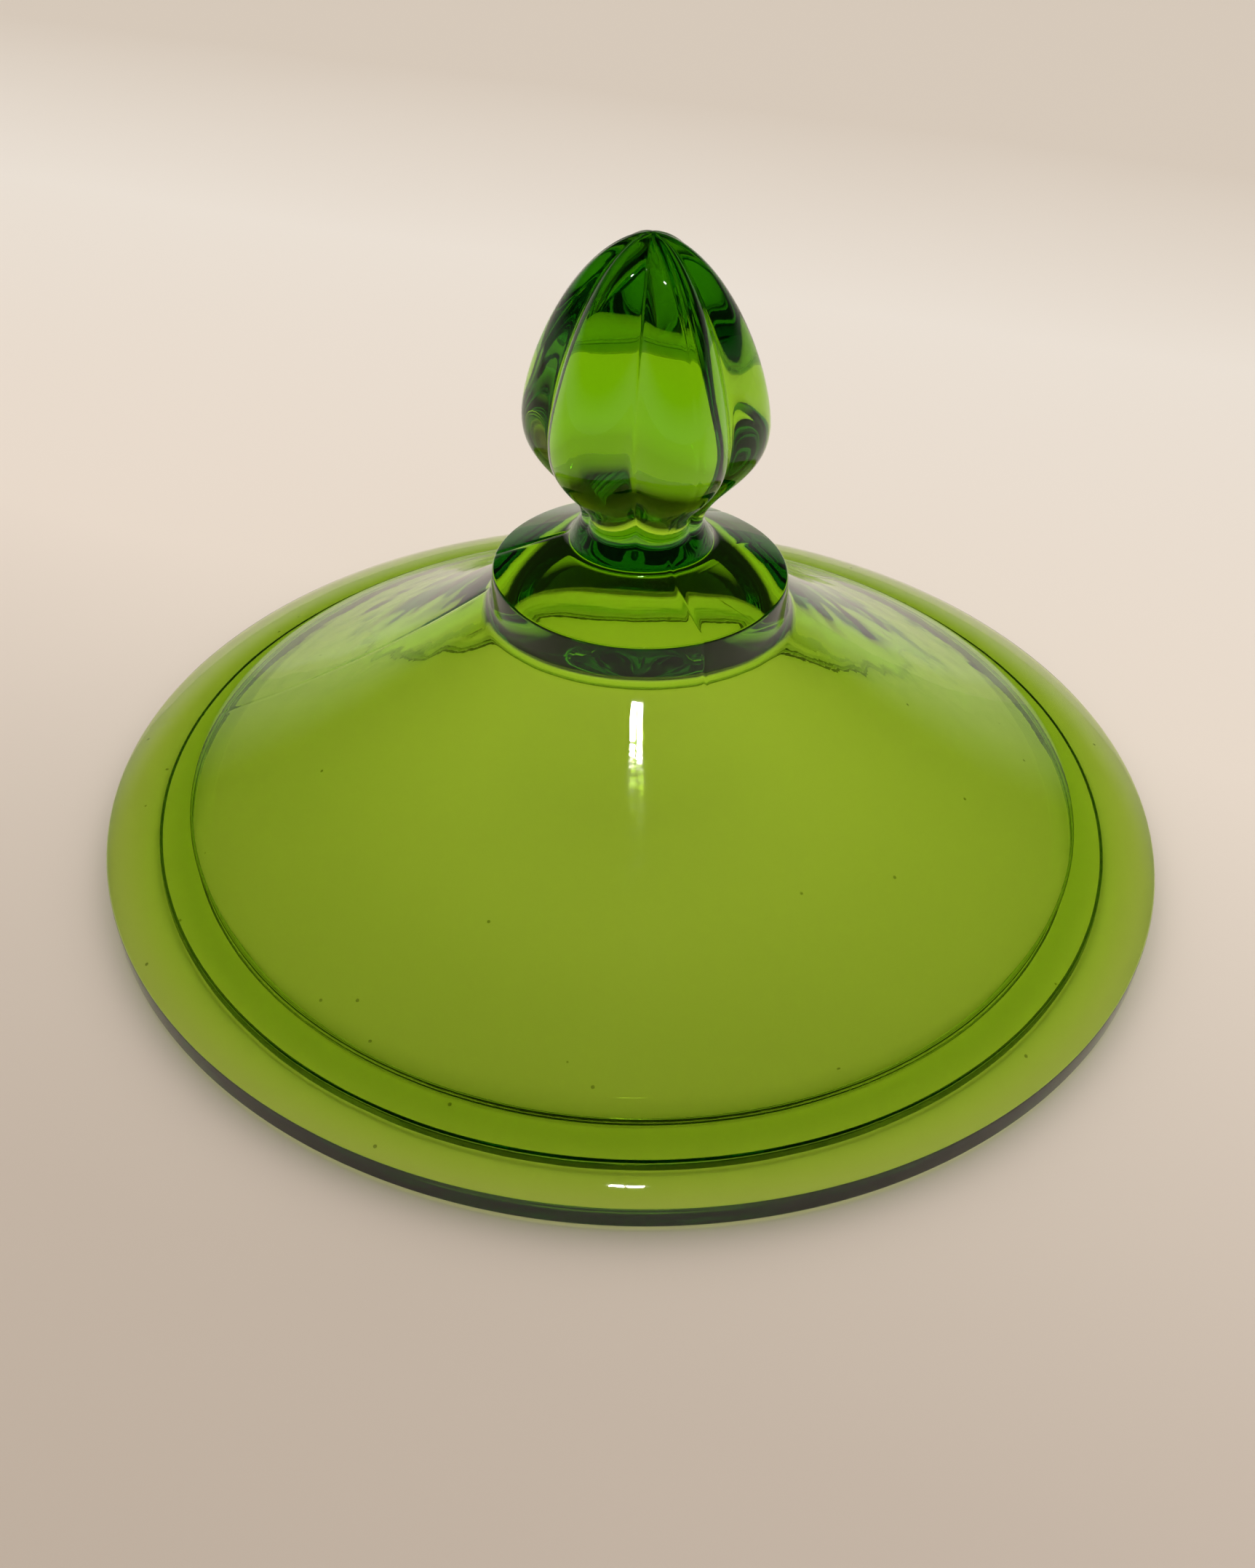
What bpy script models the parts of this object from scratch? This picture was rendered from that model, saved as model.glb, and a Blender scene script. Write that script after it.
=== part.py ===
"""Lid of a covered candy dish, pressed in one piece from green glass.

The lid stands as on a table, on the flat bottom of its locating rib.
Units are metres, +Z is up, and the origin is the centre of the rib's bottom face.

From top to bottom: a six-lobed finial, a short waist, a collar with a conical top,
a hollow bell-shaped cover, a rolled flange with a shallow groove under it for the bowl's rim,
and the locating rib that drops inside the bowl's mouth.
"""

import math

import bpy

MM = 0.001

# Flange, groove and rib
LID_RADIUS = 75.0 * MM
EDGE_TOP = 4.1 * MM
EDGE_HEIGHT = 3.7 * MM
EDGE_ROUND = 0.5 * MM
ROLL_RISE = 0.62 * MM
GROOVE_RISE = 0.5 * MM
RIB_OUTER = 66.6 * MM
RIB_INNER = 62.4 * MM
RIB_DRAFT = 0.15 * MM
RIB_STEP = 0.8 * MM
RIB_ROUND = 0.3 * MM
RIB_FILLET = 1.5 * MM
EDGE_BOTTOM = EDGE_TOP - EDGE_HEIGHT
RIB_ROOT = (RIB_OUTER + RIB_DRAFT, RIB_STEP)

# Cover
FOOT = (63.1 * MM, EDGE_TOP + 4.2 * MM)
COVER_START = (22.5 * MM, 33.0 * MM)
COVER_RISE = -1.2 * MM
FOOT_FILLET = 2.5 * MM
WALL = 6.1 * MM

# Collar
COLLAR_TOP = 39.9 * MM
COLLAR_RADIUS = 19.65 * MM
COLLAR_ROOT = (20.2 * MM, 34.75 * MM)
COLLAR_FILLET = 3.5 * MM

# Waist between collar and finial
WAIST_FOOT = (9.7 * MM, 44.2 * MM)
WAIST = (7.9 * MM, 47.4 * MM)
WAIST_FILLET = 2.4 * MM

# Finial, measured over the lobes
TIP_Z = 83.7 * MM
BELLY_RADIUS = 15.5 * MM
BELLY_Z = 61.1 * MM
LOBES = 6
LOBE_OFFSET = 0.57
LOBE_START_Z = 45.2 * MM
LOBE_FULL_Z = 52.2 * MM
EGG_SHOULDER = 1.5
EGG_POINT = 0.555
UNDERSIDE_FULLNESS = 1.25

# Smoothness
TURN_STEPS = 72
EGG_STEPS = 9
UNDERSIDE_STEPS = 6
COVER_STEPS = 6
ROLL_STEPS = 5
GROOVE_STEPS = 4
CAP_STEPS = 3
SHARP_ANGLE = math.radians(32)
GLASS_COLOUR = (0.22, 0.42, 0.03, 1.0)
GLASS_ROUGHNESS = 0.03
GLASS_IOR = 1.5


def clear_scene():
    for obj in list(bpy.data.objects):
        bpy.data.objects.remove(obj, do_unlink=True)


def smoothstep(low, high, value):
    t = min(max((value - low) / (high - low), 0.0), 1.0)
    return t * t * (3.0 - 2.0 * t)


def arc_between(start, end, rise, steps):
    """Points of a circular arc from start to end that bulges by rise, or sags where it is negative."""
    chord = math.dist(start, end)
    radius = chord * chord / (8.0 * rise) + rise / 2.0
    along = ((end[0] - start[0]) / chord, (end[1] - start[1]) / chord)
    outward = (-along[1], along[0])
    half = math.asin(chord / 2.0 / radius)
    middle = ((start[0] + end[0]) / 2.0, (start[1] + end[1]) / 2.0)
    depth = radius - rise
    centre = (middle[0] - outward[0] * depth, middle[1] - outward[1] * depth)
    points = []
    for i in range(steps + 1):
        angle = half * (2.0 * i / steps - 1.0)
        across, up = radius * math.sin(angle), radius * math.cos(angle)
        points.append((centre[0] + along[0] * across + outward[0] * up,
                       centre[1] + along[1] * across + outward[1] * up))
    return points, centre, radius


def fillet(before, corner, after, radius, steps):
    """The corner rounded to a radius, as points from the side of before to that of after."""
    ux, uz = before[0] - corner[0], before[1] - corner[1]
    vx, vz = after[0] - corner[0], after[1] - corner[1]
    u, v = math.hypot(ux, uz), math.hypot(vx, vz)
    ux, uz, vx, vz = ux / u, uz / u, vx / v, vz / v
    half = math.acos(ux * vx + uz * vz) / 2.0
    setback = radius / math.tan(half)
    bisector = math.hypot(ux + vx, uz + vz)
    reach = radius / math.sin(half)
    cx = corner[0] + (ux + vx) / bisector * reach
    cz = corner[1] + (uz + vz) / bisector * reach
    first = math.atan2(corner[1] + uz * setback - cz, corner[0] + ux * setback - cx)
    last = math.atan2(corner[1] + vz * setback - cz, corner[0] + vx * setback - cx)
    turn = (last - first + math.pi) % (2.0 * math.pi) - math.pi
    return [(cx + radius * math.cos(first + turn * i / steps),
             cz + radius * math.sin(first + turn * i / steps)) for i in range(steps + 1)]


def finial_outline():
    """The finial over its lobes, from the tip down to the waist.

    Above the belly it narrows like an egg, and below it swings in to the waist on a half
    cosine that stays full for longer near the belly.
    """
    points = [(0.0, TIP_Z)]
    for i in range(1, EGG_STEPS + 1):
        height = math.cos(math.pi / 2.0 * i / EGG_STEPS)
        width = (1.0 - height ** EGG_SHOULDER) ** EGG_POINT
        points.append((BELLY_RADIUS * width, BELLY_Z + (TIP_Z - BELLY_Z) * height))
    for i in range(1, UNDERSIDE_STEPS + 1):
        t = i / UNDERSIDE_STEPS
        width = 0.5 + 0.5 * math.cos(math.pi * t ** UNDERSIDE_FULLNESS)
        points.append((WAIST[0] + (BELLY_RADIUS - WAIST[0]) * width,
                       BELLY_Z + (WAIST[1] - BELLY_Z) * t))
    return points


def collar_outline():
    """Waist foot, conical collar top, rounded edge, drafted side and the sweep into the cover."""
    edge = (COLLAR_RADIUS, COLLAR_TOP)
    points = fillet(WAIST, WAIST_FOOT, edge, WAIST_FILLET, 3)
    points += fillet(WAIST_FOOT, edge, COLLAR_ROOT, EDGE_ROUND, 2)
    points += fillet(edge, COLLAR_ROOT, COVER_START, COLLAR_FILLET, 4)
    return points


def flange_outline(last_of_cover):
    """Foot of the cover, rolled flange top, outer edge, groove and the rib's outer side."""
    roll, _, _ = arc_between(FOOT, (LID_RADIUS, EDGE_TOP), ROLL_RISE, ROLL_STEPS)
    groove, _, _ = arc_between(RIB_ROOT, (LID_RADIUS, EDGE_BOTTOM), GROOVE_RISE, GROOVE_STEPS)
    groove.reverse()
    rib_out, rib_in = (RIB_OUTER, 0.0), (RIB_INNER, 0.0)
    points = fillet(last_of_cover, FOOT, roll[1], FOOT_FILLET, 3)
    points += roll[1:-1]
    points += fillet(roll[-2], roll[-1], groove[0], EDGE_ROUND, 2)
    points += fillet(roll[-1], groove[0], groove[1], EDGE_ROUND, 2)
    points += groove[1:-1]
    points += fillet(groove[-2], RIB_ROOT, rib_out, RIB_ROUND, 1)
    points += fillet(RIB_ROOT, rib_out, rib_in, RIB_ROUND, 1)
    return points


def lid_profile():
    """Half section of the lid, from the tip down the outside and back up the underside."""
    cover, centre, radius = arc_between(COVER_START, FOOT, COVER_RISE, COVER_STEPS)
    scale = (radius - WALL) / radius
    underside = [(centre[0] + (x - centre[0]) * scale, centre[1] + (z - centre[1]) * scale)
                 for x, z in reversed(cover)]
    run, drop = underside[0][0] - underside[1][0], underside[1][1] - underside[0][1]
    meets_x = RIB_INNER - RIB_DRAFT
    meets_rib = (meets_x, underside[0][1] - (meets_x - underside[0][0]) * drop / run)

    profile = finial_outline()
    profile += collar_outline()
    profile += cover[:-1]
    profile += flange_outline(cover[-2])
    profile += fillet((RIB_OUTER, 0.0), (RIB_INNER, 0.0), meets_rib, RIB_ROUND, 1)
    profile += fillet((RIB_INNER, 0.0), meets_rib, underside[0], RIB_FILLET, 2)
    profile += underside

    # The cap of the hollow is one arc, tangent to the underside and level on the axis.
    x, z = underside[-1]
    slope = math.atan2(z - underside[-2][1], underside[-2][0] - x)
    cap_radius = x / math.sin(slope)
    cap_centre = z - cap_radius * math.cos(slope)
    for i in range(1, CAP_STEPS + 1):
        angle = slope * (1.0 - i / CAP_STEPS)
        profile.append((cap_radius * math.sin(angle), cap_centre + cap_radius * math.cos(angle)))
    profile[-1] = (0.0, profile[-1][1])
    return profile


def turned(name, profile):
    """A closed solid of revolution about Z, as a plain mesh."""
    outline = bpy.data.meshes.new(name + "_outline")
    edges = [(i, i + 1) for i in range(len(profile) - 1)]
    outline.from_pydata([(x, 0.0, z) for x, z in profile], edges, [])
    guide = bpy.data.objects.new(name + "_outline", outline)
    bpy.context.scene.collection.objects.link(guide)
    screw = guide.modifiers.new("turn", "SCREW")
    screw.angle = 2.0 * math.pi
    screw.steps = TURN_STEPS
    screw.render_steps = TURN_STEPS
    screw.use_merge_vertices = True
    screw.merge_threshold = 1e-6
    graph = bpy.context.evaluated_depsgraph_get()
    mesh = bpy.data.meshes.new_from_object(guide.evaluated_get(graph))
    bpy.data.objects.remove(guide, do_unlink=True)
    mesh.name = name
    return mesh


def lobe_width(angle):
    """Radius of the lobed cross-section at an angle, as a share of the radius over the lobes.

    Each lobe is a circle set off from the axis, and its ridge is at angle 0.
    """
    pitch = 2.0 * math.pi / LOBES
    off_ridge = (angle + pitch / 2.0) % pitch - pitch / 2.0
    across = LOBE_OFFSET * math.sin(off_ridge)
    return LOBE_OFFSET * math.cos(off_ridge) + math.sqrt((1.0 - LOBE_OFFSET) ** 2 - across ** 2)


def press_lobes(mesh):
    """Draws the finial in between its lobes, fading out down the waist."""
    for vertex in mesh.vertices:
        x, y, z = vertex.co
        if z <= LOBE_START_Z or math.hypot(x, y) > 1.05 * BELLY_RADIUS:
            continue
        strength = smoothstep(LOBE_START_Z, LOBE_FULL_Z, z)
        share = 1.0 + strength * (lobe_width(math.atan2(y, x)) - 1.0)
        vertex.co = (x * share, y * share, z)


def green_glass():
    material = bpy.data.materials.new("green_glass")
    material.use_nodes = True
    shader = material.node_tree.nodes["Principled BSDF"]
    shader.inputs["Base Color"].default_value = GLASS_COLOUR
    shader.inputs["Roughness"].default_value = GLASS_ROUGHNESS
    shader.inputs["Metallic"].default_value = 0.0
    shader.inputs["IOR"].default_value = GLASS_IOR
    shader.inputs["Transmission Weight"].default_value = 1.0
    material.diffuse_color = GLASS_COLOUR
    return material


def build_lid(collection):
    mesh = turned("lid", lid_profile())
    press_lobes(mesh)
    mesh.materials.append(green_glass())
    mesh.shade_smooth()
    mesh.set_sharp_from_angle(angle=SHARP_ANGLE)
    collection.objects.link(bpy.data.objects.new("lid", mesh))


def main():
    clear_scene()
    collection = bpy.data.collections.new("candy_dish_lid")
    bpy.context.scene.collection.children.link(collection)
    build_lid(collection)


main()
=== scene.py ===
"""The looks of a pressed green glass lid: one fine glass casting on a pale floor.

The casting follows the CAD section with smooth rounds, fire-polished grooves, faint mould
seams and the slight waviness of pressed glass. Units are metres, +Z is up.
"""

import math

import bpy
from mathutils import Matrix, Vector, noise

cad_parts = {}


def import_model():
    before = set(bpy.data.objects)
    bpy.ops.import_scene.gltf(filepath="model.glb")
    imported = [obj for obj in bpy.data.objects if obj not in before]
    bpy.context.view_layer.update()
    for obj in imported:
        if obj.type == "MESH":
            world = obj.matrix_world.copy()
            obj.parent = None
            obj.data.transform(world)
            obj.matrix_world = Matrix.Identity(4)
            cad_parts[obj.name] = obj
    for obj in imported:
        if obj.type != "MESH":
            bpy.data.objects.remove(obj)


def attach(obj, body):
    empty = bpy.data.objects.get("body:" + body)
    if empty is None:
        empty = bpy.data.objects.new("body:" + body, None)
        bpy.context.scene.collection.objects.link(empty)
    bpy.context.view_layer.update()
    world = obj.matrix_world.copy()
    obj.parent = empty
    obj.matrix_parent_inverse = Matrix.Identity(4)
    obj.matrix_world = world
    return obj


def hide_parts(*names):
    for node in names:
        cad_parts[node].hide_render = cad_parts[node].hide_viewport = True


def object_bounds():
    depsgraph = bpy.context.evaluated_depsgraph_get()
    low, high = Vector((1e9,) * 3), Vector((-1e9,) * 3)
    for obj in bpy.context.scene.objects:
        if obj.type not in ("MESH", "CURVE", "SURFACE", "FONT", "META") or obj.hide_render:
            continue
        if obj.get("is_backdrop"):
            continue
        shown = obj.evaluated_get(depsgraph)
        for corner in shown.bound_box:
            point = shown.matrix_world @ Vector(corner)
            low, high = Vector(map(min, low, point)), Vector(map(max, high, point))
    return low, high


MM = 0.001

# The section, as the CAD part has it
EDGE_TOP = 4.1 * MM
EDGE_HEIGHT = 3.7 * MM
EDGE_ROUND = 0.5 * MM
EDGE_BOTTOM = EDGE_TOP - EDGE_HEIGHT
ROLL_RISE = 0.62 * MM
GROOVE_RISE = 0.5 * MM
RIB_OUTER = 66.6 * MM
RIB_INNER = 62.4 * MM
RIB_DRAFT = 0.15 * MM
RIB_STEP = 0.8 * MM
RIB_ROUND = 0.3 * MM
RIB_FILLET = 1.5 * MM
RIB_ROOT = (RIB_OUTER + RIB_DRAFT, RIB_STEP)
FOOT = (63.1 * MM, EDGE_TOP + 4.2 * MM)
COVER_START = (22.5 * MM, 33.0 * MM)
COVER_RISE = -1.2 * MM
FOOT_FILLET = 2.5 * MM
WALL = 6.1 * MM
COLLAR_TOP = 39.9 * MM
COLLAR_RADIUS = 19.65 * MM
COLLAR_ROOT = (20.2 * MM, 34.75 * MM)
COLLAR_FILLET = 3.5 * MM
WAIST_FOOT = (9.7 * MM, 44.2 * MM)
WAIST = (7.9 * MM, 47.4 * MM)
WAIST_FILLET = 2.4 * MM
BELLY_RADIUS = 15.5 * MM
BELLY_Z = 61.1 * MM
LOBES = 6
LOBE_OFFSET = 0.57
LOBE_START_Z = 45.2 * MM
LOBE_FULL_Z = 52.2 * MM
EGG_SHOULDER = 1.5
EGG_POINT = 0.555
UNDERSIDE_FULLNESS = 1.25
EGG_STEPS = 64
UNDERSIDE_STEPS = 32
COVER_STEPS = 40
ROLL_STEPS = 24
GROOVE_STEPS = 16
CAP_STEPS = 20

# Fine surface
GROOVE_ROUND = math.radians(1.0)
SEAM_ANGLES = [math.radians(a) for a in (60, 180, 300)]
SEAM_HEIGHT = 0.05 * MM
SEAM_WIDTH = 0.35 * MM
WAVE_OUTSIDE = 0.02 * MM
WAVE_INSIDE = 0.03 * MM
WAVE_SIZE = 9.0 * MM
FINE_WAVE_SIZE = 3.5 * MM
FINE_WAVE_SHARE = 0.4
SEAM_CLEAR_OF_TIP = 4.0 * MM
SEAM_FAINT_FROM = 30.0 * MM
SEAM_FAINT_SHARE = 0.35
EDGE_BAND = 1.2 * MM
TURN_STEPS = 336
SECTION_STEP = 0.75 * MM

# Glass: what each metre of it takes off red, green and blue, and its index
ABSORBED = (56.0, 20.0, 222.0)
ABSORPTION_DENSITY = 250.0
GLASS_IOR = 1.51

# Camera
CAMERA_TURN = math.radians(5.7)
CAMERA_BACK = 168.5 * MM
CAMERA_SIDE = -0.8 * MM
CAMERA_HEIGHT = 139.2 * MM
CAMERA_PITCH = math.radians(39.03)
CAMERA_ROLL = math.radians(1.8)
CAMERA_LENS = 33.4
SENSOR = 36.0

# Studio
FLOOR_RADIUS = 4.0
FLOOR_GAP = 0.15 * MM
LAMP_DISTANCE = 1.2
LAMP_HEIGHT = 69.5
LAMP_SIZE = (0.040, 0.012)
LAMP_COLOUR = (1.0, 0.95, 0.88)
LIGHT_FROM = (0.1, 0.5, 0.86)
SKY_STRENGTH = 1.42
# Painted shade on the floor: where its colour ramp starts and ends, how far it leans sideways, its
# faint unevenness, and its colours, darker at the near left and further back.
FLOOR_NEAR = -0.20
FLOOR_FAR = 0.40
FLOOR_SIDEWAYS = 0.25
FLOOR_UNEVEN = 0.02
FLOOR_PAINTED_SHADE = [(0.0, (0.45, 0.38, 0.31)), (0.20, (0.58, 0.50, 0.43)),
                (0.42, (0.83, 0.745, 0.66)), (0.70, (0.85, 0.80, 0.735)), (1.0, (0.70, 0.63, 0.55))]


def smoothstep(low, high, value):
    t = min(max((value - low) / (high - low), 0.0), 1.0)
    return t * t * (3.0 - 2.0 * t)


# ---- Section ----------------------------------------------------------------------------


def arc_between(start, end, rise, steps):
    """Points of a circular arc from start to end that bulges by rise, or sags where it is negative."""
    chord = math.dist(start, end)
    radius = chord * chord / (8.0 * rise) + rise / 2.0
    along = ((end[0] - start[0]) / chord, (end[1] - start[1]) / chord)
    outward = (-along[1], along[0])
    half = math.asin(chord / 2.0 / radius)
    middle = ((start[0] + end[0]) / 2.0, (start[1] + end[1]) / 2.0)
    depth = radius - rise
    centre = (middle[0] - outward[0] * depth, middle[1] - outward[1] * depth)
    points = []
    for i in range(steps + 1):
        angle = half * (2.0 * i / steps - 1.0)
        across, up = radius * math.sin(angle), radius * math.cos(angle)
        points.append((centre[0] + along[0] * across + outward[0] * up,
                       centre[1] + along[1] * across + outward[1] * up))
    return points, centre, radius


def fillet(before, corner, after, radius, steps):
    """The corner rounded to a radius, as points from the side of before to that of after."""
    ux, uz = before[0] - corner[0], before[1] - corner[1]
    vx, vz = after[0] - corner[0], after[1] - corner[1]
    u, v = math.hypot(ux, uz), math.hypot(vx, vz)
    ux, uz, vx, vz = ux / u, uz / u, vx / v, vz / v
    half = math.acos(ux * vx + uz * vz) / 2.0
    setback = radius / math.tan(half)
    bisector = math.hypot(ux + vx, uz + vz)
    reach = radius / math.sin(half)
    cx = corner[0] + (ux + vx) / bisector * reach
    cz = corner[1] + (uz + vz) / bisector * reach
    first = math.atan2(corner[1] + uz * setback - cz, corner[0] + ux * setback - cx)
    last = math.atan2(corner[1] + vz * setback - cz, corner[0] + vx * setback - cx)
    turn = (last - first + math.pi) % (2.0 * math.pi) - math.pi
    return [(cx + radius * math.cos(first + turn * i / steps),
             cz + radius * math.sin(first + turn * i / steps)) for i in range(steps + 1)]


def finial_outline(tip_z):
    """The finial over its lobes, from the tip down to the waist."""
    points = [(0.0, tip_z)]
    for i in range(1, EGG_STEPS + 1):
        height = math.cos(math.pi / 2.0 * i / EGG_STEPS)
        width = (1.0 - height ** EGG_SHOULDER) ** EGG_POINT
        points.append((BELLY_RADIUS * width, BELLY_Z + (tip_z - BELLY_Z) * height))
    for i in range(1, UNDERSIDE_STEPS + 1):
        t = i / UNDERSIDE_STEPS
        width = 0.5 + 0.5 * math.cos(math.pi * t ** UNDERSIDE_FULLNESS)
        points.append((WAIST[0] + (BELLY_RADIUS - WAIST[0]) * width,
                       BELLY_Z + (WAIST[1] - BELLY_Z) * t))
    return points


def lid_section(lid_radius, tip_z):
    """Half section: the outside from the tip to the edge, and the underside back to the axis."""
    cover, centre, radius = arc_between(COVER_START, FOOT, COVER_RISE, COVER_STEPS)
    roll, _, _ = arc_between(FOOT, (lid_radius, EDGE_TOP), ROLL_RISE, ROLL_STEPS)
    groove, _, _ = arc_between(RIB_ROOT, (lid_radius, EDGE_BOTTOM), GROOVE_RISE, GROOVE_STEPS)
    groove.reverse()
    scale = (radius - WALL) / radius
    underside = [(centre[0] + (x - centre[0]) * scale, centre[1] + (z - centre[1]) * scale)
                 for x, z in reversed(cover)]
    run, drop = underside[0][0] - underside[1][0], underside[1][1] - underside[0][1]
    meets_x = RIB_INNER - RIB_DRAFT
    meets_rib = (meets_x, underside[0][1] - (meets_x - underside[0][0]) * drop / run)
    collar_edge = (COLLAR_RADIUS, COLLAR_TOP)
    rib_out, rib_in = (RIB_OUTER, 0.0), (RIB_INNER, 0.0)

    outside = finial_outline(tip_z)
    outside += fillet(WAIST, WAIST_FOOT, collar_edge, WAIST_FILLET, 10)
    outside += fillet(WAIST_FOOT, collar_edge, COLLAR_ROOT, EDGE_ROUND, 7)
    outside += fillet(collar_edge, COLLAR_ROOT, COVER_START, COLLAR_FILLET, 12)
    outside += cover[:-2]
    outside += fillet(cover[-2], FOOT, roll[2], FOOT_FILLET, 10)
    outside += roll[2:-2]
    outside += fillet(roll[-2], roll[-1], groove[0], EDGE_ROUND, 7)
    inside = fillet(roll[-1], groove[0], groove[1], EDGE_ROUND, 7)
    inside += groove[2:-2]
    inside += fillet(groove[-2], RIB_ROOT, rib_out, RIB_ROUND, 5)
    inside += fillet(RIB_ROOT, rib_out, rib_in, RIB_ROUND, 6)
    inside += fillet(rib_out, rib_in, meets_rib, RIB_ROUND, 6)
    inside += fillet(rib_in, meets_rib, underside[0], RIB_FILLET, 10)
    inside += underside

    # The cap of the hollow is one arc, tangent to the underside and level on the axis.
    x, z = underside[-1]
    slope = math.atan2(z - underside[-2][1], underside[-2][0] - x)
    cap_radius = x / math.sin(slope)
    cap_centre = z - cap_radius * math.cos(slope)
    for i in range(1, CAP_STEPS + 1):
        angle = slope * (1.0 - i / CAP_STEPS)
        inside.append((cap_radius * math.sin(angle), cap_centre + cap_radius * math.cos(angle)))
    inside[-1] = (0.0, inside[-1][1])
    return outside, inside


def divided(points):
    """The line with long straight stretches divided, so that waves and seams can show."""
    out = [points[0]]
    for before, after in zip(points, points[1:]):
        length = math.dist(before, after)
        if length < 1e-7:
            continue
        pieces = max(1, math.ceil(length / SECTION_STEP))
        for i in range(1, pieces + 1):
            t = i / pieces
            out.append((before[0] + (after[0] - before[0]) * t,
                        before[1] + (after[1] - before[1]) * t))
    return out


# ---- Casting ----------------------------------------------------------------------------


def lobe_width(angle):
    """Radius of the lobed cross-section at an angle, as a share of the radius over the lobes.

    Each lobe is a circle set off from the axis. Near a groove the angle is eased, which
    rounds the groove's bottom as fire polishing does.
    """
    pitch = 2.0 * math.pi / LOBES
    off_ridge = abs((angle + pitch / 2.0) % pitch - pitch / 2.0)
    to_groove = pitch / 2.0 - off_ridge
    off_ridge = pitch / 2.0 + GROOVE_ROUND - math.hypot(to_groove, GROOVE_ROUND)
    off_ridge = min(off_ridge, pitch / 2.0)
    across = LOBE_OFFSET * math.sin(off_ridge)
    return LOBE_OFFSET * math.cos(off_ridge) + math.sqrt((1.0 - LOBE_OFFSET) ** 2 - across ** 2)


def seam_rise(angle, radius):
    """Height of the mould seams at an angle, on a surface that far from the axis."""
    rise = 0.0
    for seam in SEAM_ANGLES:
        off = abs((angle - seam + math.pi) % (2.0 * math.pi) - math.pi) * radius
        rise = max(rise, SEAM_HEIGHT * math.exp(-(off / SEAM_WIDTH) ** 2))
    return rise


def turn_angles():
    """Angles of the columns: even, with more of them beside the mould seams."""
    angles = {round(2.0 * math.pi * i / TURN_STEPS, 6) for i in range(TURN_STEPS)}
    for seam in SEAM_ANGLES:
        for i in (-4, -3, -2, -1, 1, 2, 3, 4):
            angles.add(round(seam + math.radians(0.22 * i), 6))
    return sorted(angles)


def section_normals(points):
    """Outward direction at each point of a line that runs with the glass on its right."""
    normals = []
    for i in range(len(points)):
        before, after = points[max(i - 1, 0)], points[min(i + 1, len(points) - 1)]
        dx, dz = after[0] - before[0], after[1] - before[1]
        length = math.hypot(dx, dz)
        normals.append((-dz / length, dx / length))
    return normals


def ripple(x, y, z, size, seed):
    return noise.noise(Vector((x / size + seed, y / size - seed, z / size + 2.0 * seed)))


def casting(name, lid_radius, tip_z):
    """The whole lid as one closed mesh."""
    outside, inside = lid_section(lid_radius, tip_z)
    outside, inside = divided(outside), divided(inside)
    section = outside + inside
    normals = section_normals(section)
    outside_count = len(outside)
    angles = turn_angles()
    columns = len(angles)
    vertices = [(0.0, 0.0, section[0][1])]
    for row in range(1, len(section) - 1):
        radius, z = section[row]
        normal_r, normal_z = -normals[row][0], -normals[row][1]
        on_outside = row < outside_count
        lobed = on_outside and z > LOBE_START_Z and radius < 1.05 * BELLY_RADIUS
        strength = smoothstep(LOBE_START_Z, LOBE_FULL_Z, z) if lobed else 0.0
        # The rib's faces and the groove, which meet a table or a bowl, stay true.
        true_face = not on_outside and radius > RIB_INNER - 1.0 * MM
        for angle in angles:
            share = 1.0 + strength * (lobe_width(angle) - 1.0)
            r = radius * share
            x, y = r * math.cos(angle), r * math.sin(angle)
            move = 0.0
            if not true_face:
                depth = WAVE_OUTSIDE if on_outside else WAVE_INSIDE
                move += depth * ripple(x, y, z, WAVE_SIZE, 3.1 if on_outside else 7.7)
                move += FINE_WAVE_SHARE * depth * ripple(x, y, z, FINE_WAVE_SIZE, 1.3)
            if on_outside:
                strength_here = SEAM_FAINT_SHARE if radius > SEAM_FAINT_FROM else 1.0
                fade = smoothstep(0.0, SEAM_CLEAR_OF_TIP, radius) * strength_here
                move += fade * seam_rise(angle, max(r, 1.0 * MM))
            # The outermost edge never grows past the CAD's.
            if radius > lid_radius - EDGE_BAND:
                move = min(move, 0.0)
            vertices.append((x + move * normal_r * math.cos(angle),
                             y + move * normal_r * math.sin(angle), z + move * normal_z))
    vertices.append((0.0, 0.0, section[-1][1]))

    faces = []
    rows = len(section) - 2
    for column in range(columns):
        after = (column + 1) % columns
        faces.append((0, 1 + column, 1 + after))
        last = 1 + (rows - 1) * columns
        faces.append((last + column, len(vertices) - 1, last + after))
        for row in range(rows - 1):
            upper, lower = 1 + row * columns, 1 + (row + 1) * columns
            faces.append((upper + column, lower + column, lower + after, upper + after))
    mesh = bpy.data.meshes.new(name)
    mesh.from_pydata(vertices, [], faces)
    mesh.shade_smooth()
    mesh.validate()
    obj = bpy.data.objects.new(name, mesh)
    bpy.context.scene.collection.objects.link(obj)
    return obj


# ---- Materials --------------------------------------------------------------------------


def new_material(name):
    material = bpy.data.materials.new(name)
    material.use_nodes = True
    tree = material.node_tree
    return material, tree, tree.nodes["Principled BSDF"]


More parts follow.
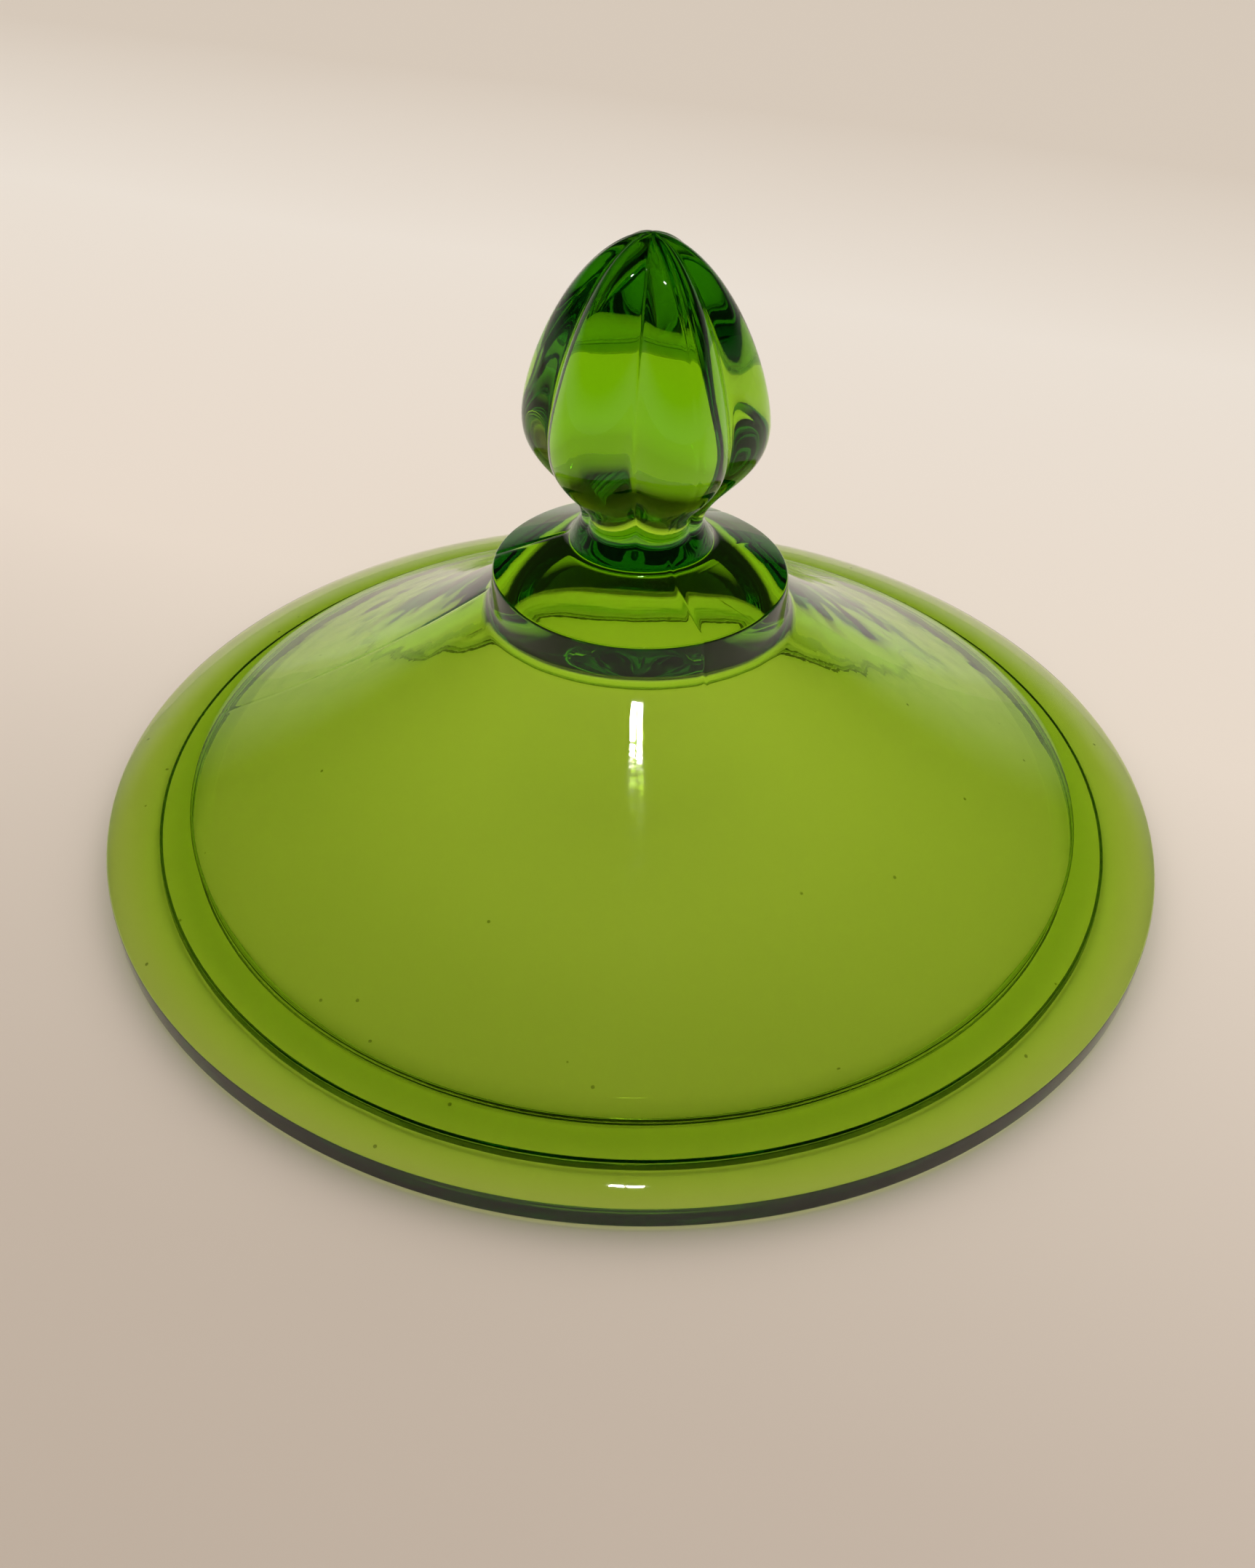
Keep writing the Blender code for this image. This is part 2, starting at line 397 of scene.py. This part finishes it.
def green_glass():
    """Clear glass coloured through, with faint ripples, smears and specks on its skin."""
    material, tree, shader = new_material("green_glass")
    shader.inputs["Transmission Weight"].default_value = 1.0
    shader.inputs["IOR"].default_value = GLASS_IOR
    position = tree.nodes.new("ShaderNodeTexCoord").outputs["Object"]

    smear = tree.nodes.new("ShaderNodeTexNoise")
    smear.inputs["Scale"].default_value = 60.0
    smear.inputs["Detail"].default_value = 6.0
    smear.inputs["Roughness"].default_value = 0.62
    tree.links.new(position, smear.inputs["Vector"])
    roughness = tree.nodes.new("ShaderNodeMapRange")
    roughness.inputs["From Min"].default_value = 0.45
    roughness.inputs["From Max"].default_value = 0.80
    roughness.inputs["To Min"].default_value = 0.0
    roughness.inputs["To Max"].default_value = 0.07
    tree.links.new(smear.outputs["Fac"], roughness.inputs["Value"])
    tree.links.new(roughness.outputs["Result"], shader.inputs["Roughness"])

    specks = tree.nodes.new("ShaderNodeTexVoronoi")
    specks.inputs["Scale"].default_value = 140.0
    specks.inputs["Randomness"].default_value = 1.0
    tree.links.new(position, specks.inputs["Vector"])
    dot = tree.nodes.new("ShaderNodeMapRange")
    dot.inputs["From Min"].default_value = 0.028
    dot.inputs["From Max"].default_value = 0.04
    dot.inputs["To Min"].default_value = 0.35
    dot.inputs["To Max"].default_value = 1.0
    tree.links.new(specks.outputs["Distance"], dot.inputs["Value"])
    tint = tree.nodes.new("ShaderNodeCombineColor")
    for channel in ("Red", "Green", "Blue"):
        tree.links.new(dot.outputs["Result"], tint.inputs[channel])
    tree.links.new(tint.outputs["Color"], shader.inputs["Base Color"])

    grain = tree.nodes.new("ShaderNodeTexNoise")
    grain.inputs["Scale"].default_value = 420.0
    grain.inputs["Detail"].default_value = 3.0
    tree.links.new(position, grain.inputs["Vector"])
    bump = tree.nodes.new("ShaderNodeBump")
    bump.inputs["Strength"].default_value = 0.05
    bump.inputs["Distance"].default_value = 0.1 * MM
    tree.links.new(grain.outputs["Fac"], bump.inputs["Height"])
    tree.links.new(bump.outputs["Normal"], shader.inputs["Normal"])

    absorption = tree.nodes.new("ShaderNodeVolumeAbsorption")
    absorption.inputs["Density"].default_value = ABSORPTION_DENSITY
    absorption.inputs["Color"].default_value = (
        *[1.0 - taken / ABSORPTION_DENSITY for taken in ABSORBED], 1.0)
    output = tree.nodes["Material Output"]
    tree.links.new(absorption.outputs["Volume"], output.inputs["Volume"])
    return material


def pale_floor_painted_shade():
    """Warm white paper with painted shade, darker towards the near left and again further back, with a
    faint unevenness.
    """
    material, tree, shader = new_material("pale_floor_painted_shade")
    position = tree.nodes.new("ShaderNodeTexCoord").outputs["Object"]
    split = tree.nodes.new("ShaderNodeSeparateXYZ")
    tree.links.new(position, split.inputs["Vector"])
    uneven = tree.nodes.new("ShaderNodeTexNoise")
    uneven.inputs["Scale"].default_value = 9.0
    uneven.inputs["Detail"].default_value = 3.0
    tree.links.new(position, uneven.inputs["Vector"])
    sideways = tree.nodes.new("ShaderNodeMath")
    sideways.operation = "MULTIPLY_ADD"
    sideways.inputs[1].default_value = FLOOR_SIDEWAYS
    tree.links.new(split.outputs["X"], sideways.inputs[0])
    tree.links.new(split.outputs["Y"], sideways.inputs[2])
    jitter = tree.nodes.new("ShaderNodeMath")
    jitter.operation = "MULTIPLY_ADD"
    jitter.inputs[1].default_value = FLOOR_UNEVEN
    tree.links.new(uneven.outputs["Fac"], jitter.inputs[0])
    tree.links.new(sideways.outputs["Value"], jitter.inputs[2])
    place = tree.nodes.new("ShaderNodeMapRange")
    place.inputs["From Min"].default_value = FLOOR_NEAR
    place.inputs["From Max"].default_value = FLOOR_FAR
    tree.links.new(jitter.outputs["Value"], place.inputs["Value"])
    # This colour ramp paints shade into the floor: darker towards the near left and further back.
    shade = tree.nodes.new("ShaderNodeValToRGB")
    elements = shade.color_ramp.elements
    for _ in FLOOR_PAINTED_SHADE[2:]:
        elements.new(0.5)
    for element, (stop, colour) in zip(elements, FLOOR_PAINTED_SHADE):
        element.position = stop
        element.color = (*colour, 1.0)
    tree.links.new(place.outputs["Result"], shade.inputs["Fac"])
    tree.links.new(shade.outputs["Color"], shader.inputs["Base Color"])
    shader.inputs["Roughness"].default_value = 0.9
    shader.inputs["Specular IOR Level"].default_value = 0.1
    return material


# ---- Studio -----------------------------------------------------------------------------


def build_floor():
    steps = 96
    mesh = bpy.data.meshes.new("floor")
    rim = [(FLOOR_RADIUS * math.cos(2 * math.pi * i / steps),
            FLOOR_RADIUS * math.sin(2 * math.pi * i / steps), -FLOOR_GAP) for i in range(steps)]
    mesh.from_pydata(rim, [], [tuple(range(steps))])
    mesh.materials.append(pale_floor_painted_shade())
    floor = bpy.data.objects.new("floor", mesh)
    bpy.context.scene.collection.objects.link(floor)
    floor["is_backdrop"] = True


def build_camera():
    """The camera, turned about the lid's axis so that a groove faces a little left of it."""
    camera = bpy.data.objects.new("camera", bpy.data.cameras.new("camera"))
    camera.data.sensor_width = SENSOR
    camera.data.lens = CAMERA_LENS
    camera.data.clip_start = 0.01
    turn = Matrix.Rotation(CAMERA_TURN, 4, "Z")
    place = Matrix.Translation((CAMERA_SIDE, -CAMERA_BACK, CAMERA_HEIGHT))
    tilt = Matrix.Rotation(math.pi / 2.0 - CAMERA_PITCH, 4, "X")
    roll = Matrix.Rotation(CAMERA_ROLL, 4, "Z")
    camera.matrix_world = turn @ place @ tilt @ roll
    bpy.context.scene.collection.objects.link(camera)
    bpy.context.scene.camera = camera


def build_world():
    """A sky, brightest overhead and behind, for what is lit, and a dark room for the glass."""
    world = bpy.data.worlds.new("studio")
    bpy.context.scene.world = world
    world.use_nodes = True
    world.cycles.sampling_method = "NONE"
    tree = world.node_tree
    tree.nodes.clear()
    path = tree.nodes.new("ShaderNodeLightPath")
    direction = tree.nodes.new("ShaderNodeTexCoord").outputs["Generated"]
    split = tree.nodes.new("ShaderNodeSeparateXYZ")
    tree.links.new(direction, split.inputs["Vector"])
    height = split.outputs["Z"]
    # How far a direction leans to where most light comes from, overhead and behind the lid.
    leaning = tree.nodes.new("ShaderNodeVectorMath")
    leaning.operation = "DOT_PRODUCT"
    leaning.inputs[1].default_value = LIGHT_FROM
    tree.links.new(direction, leaning.inputs[0])

    def ramp(along, stops):
        node = tree.nodes.new("ShaderNodeValToRGB")
        elements = node.color_ramp.elements
        for _ in stops[2:]:
            elements.new(0.5)
        for element, (place, colour) in zip(elements, stops):
            element.position = place
            element.color = (*colour, 1.0)
        tree.links.new(along, node.inputs["Fac"])
        return node.outputs["Color"]

    def background(colour, strength):
        node = tree.nodes.new("ShaderNodeBackground")
        tree.links.new(colour, node.inputs["Color"])
        node.inputs["Strength"].default_value = strength
        return node.outputs["Background"]

    def mix(factor, low, high):
        node = tree.nodes.new("ShaderNodeMixShader")
        tree.links.new(factor, node.inputs["Fac"])
        tree.links.new(low, node.inputs[1])
        tree.links.new(high, node.inputs[2])
        return node.outputs["Shader"]

    room = background(ramp(height, [(0.0, (0.50, 0.46, 0.41)), (0.10, (0.40, 0.37, 0.33)),
                                    (0.26, (0.018, 0.020, 0.016)), (1.0, (0.010, 0.011, 0.009))]),
                      1.0)
    sky = background(ramp(leaning.outputs["Value"], [(0.1, (0.22, 0.21, 0.20)),
                                                     (0.9, (1.0, 0.96, 0.92))]), SKY_STRENGTH)
    backdrop = background(ramp(height, [(0.0, (0.66, 0.60, 0.54)), (0.6, (0.70, 0.64, 0.57))]), 1.0)
    lit = tree.nodes.new("ShaderNodeMath")
    lit.operation = "GREATER_THAN"
    lit.inputs[1].default_value = 0.5
    tree.links.new(path.outputs["Diffuse Depth"], lit.inputs[0])
    shown = mix(lit.outputs["Value"], room, sky)
    shown = mix(path.outputs["Is Camera Ray"], shown, backdrop)
    output = tree.nodes.new("ShaderNodeOutputWorld")
    tree.links.new(shown, output.inputs["Surface"])


def add_lamp(name, direction, power):
    """A small lamp that only shows in the glass, at a turn and height given in degrees."""
    data = bpy.data.lights.new(name, "AREA")
    data.shape = "RECTANGLE"
    data.size, data.size_y = LAMP_SIZE
    data.energy = power
    data.color = LAMP_COLOUR
    lamp = bpy.data.objects.new(name, data)
    turn, height = (math.radians(a) for a in direction)
    away = Vector((math.sin(turn) * math.cos(height), -math.cos(turn) * math.cos(height),
                   math.sin(height)))
    lamp.location = away * LAMP_DISTANCE
    lamp.rotation_euler = away.to_track_quat("Z", "Y").to_euler()
    lamp.visible_diffuse = False
    lamp.visible_camera = False
    bpy.context.scene.collection.objects.link(lamp)


def build_lamps():
    """Two narrow ceiling lamps, side by side, that show as one small flare."""
    add_lamp("lamp_left", (4.5, LAMP_HEIGHT), 0.8)
    add_lamp("lamp_right", (11.5, LAMP_HEIGHT), 0.6)


def set_sampling():
    scene = bpy.context.scene
    scene.view_settings.view_transform = "Standard"
    cycles = scene.cycles
    cycles.max_bounces = 32
    cycles.transmission_bounces = 28
    cycles.glossy_bounces = 16
    cycles.diffuse_bounces = 4
    cycles.sample_clamp_indirect = 6.0
    cycles.blur_glossy = 0.3
    cycles.caustics_reflective = True
    cycles.caustics_refractive = True
    cycles.use_denoising = True


# ---- Scene ------------------------------------------------------------------------------


def main():
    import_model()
    low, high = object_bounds()
    build_camera()
    lid = casting("lid_glass", high[0], high[2])
    lid.data.materials.append(green_glass())
    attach(lid, "root")
    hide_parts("lid")
    build_floor()
    build_world()
    build_lamps()
    set_sampling()
    low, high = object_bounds()


main()
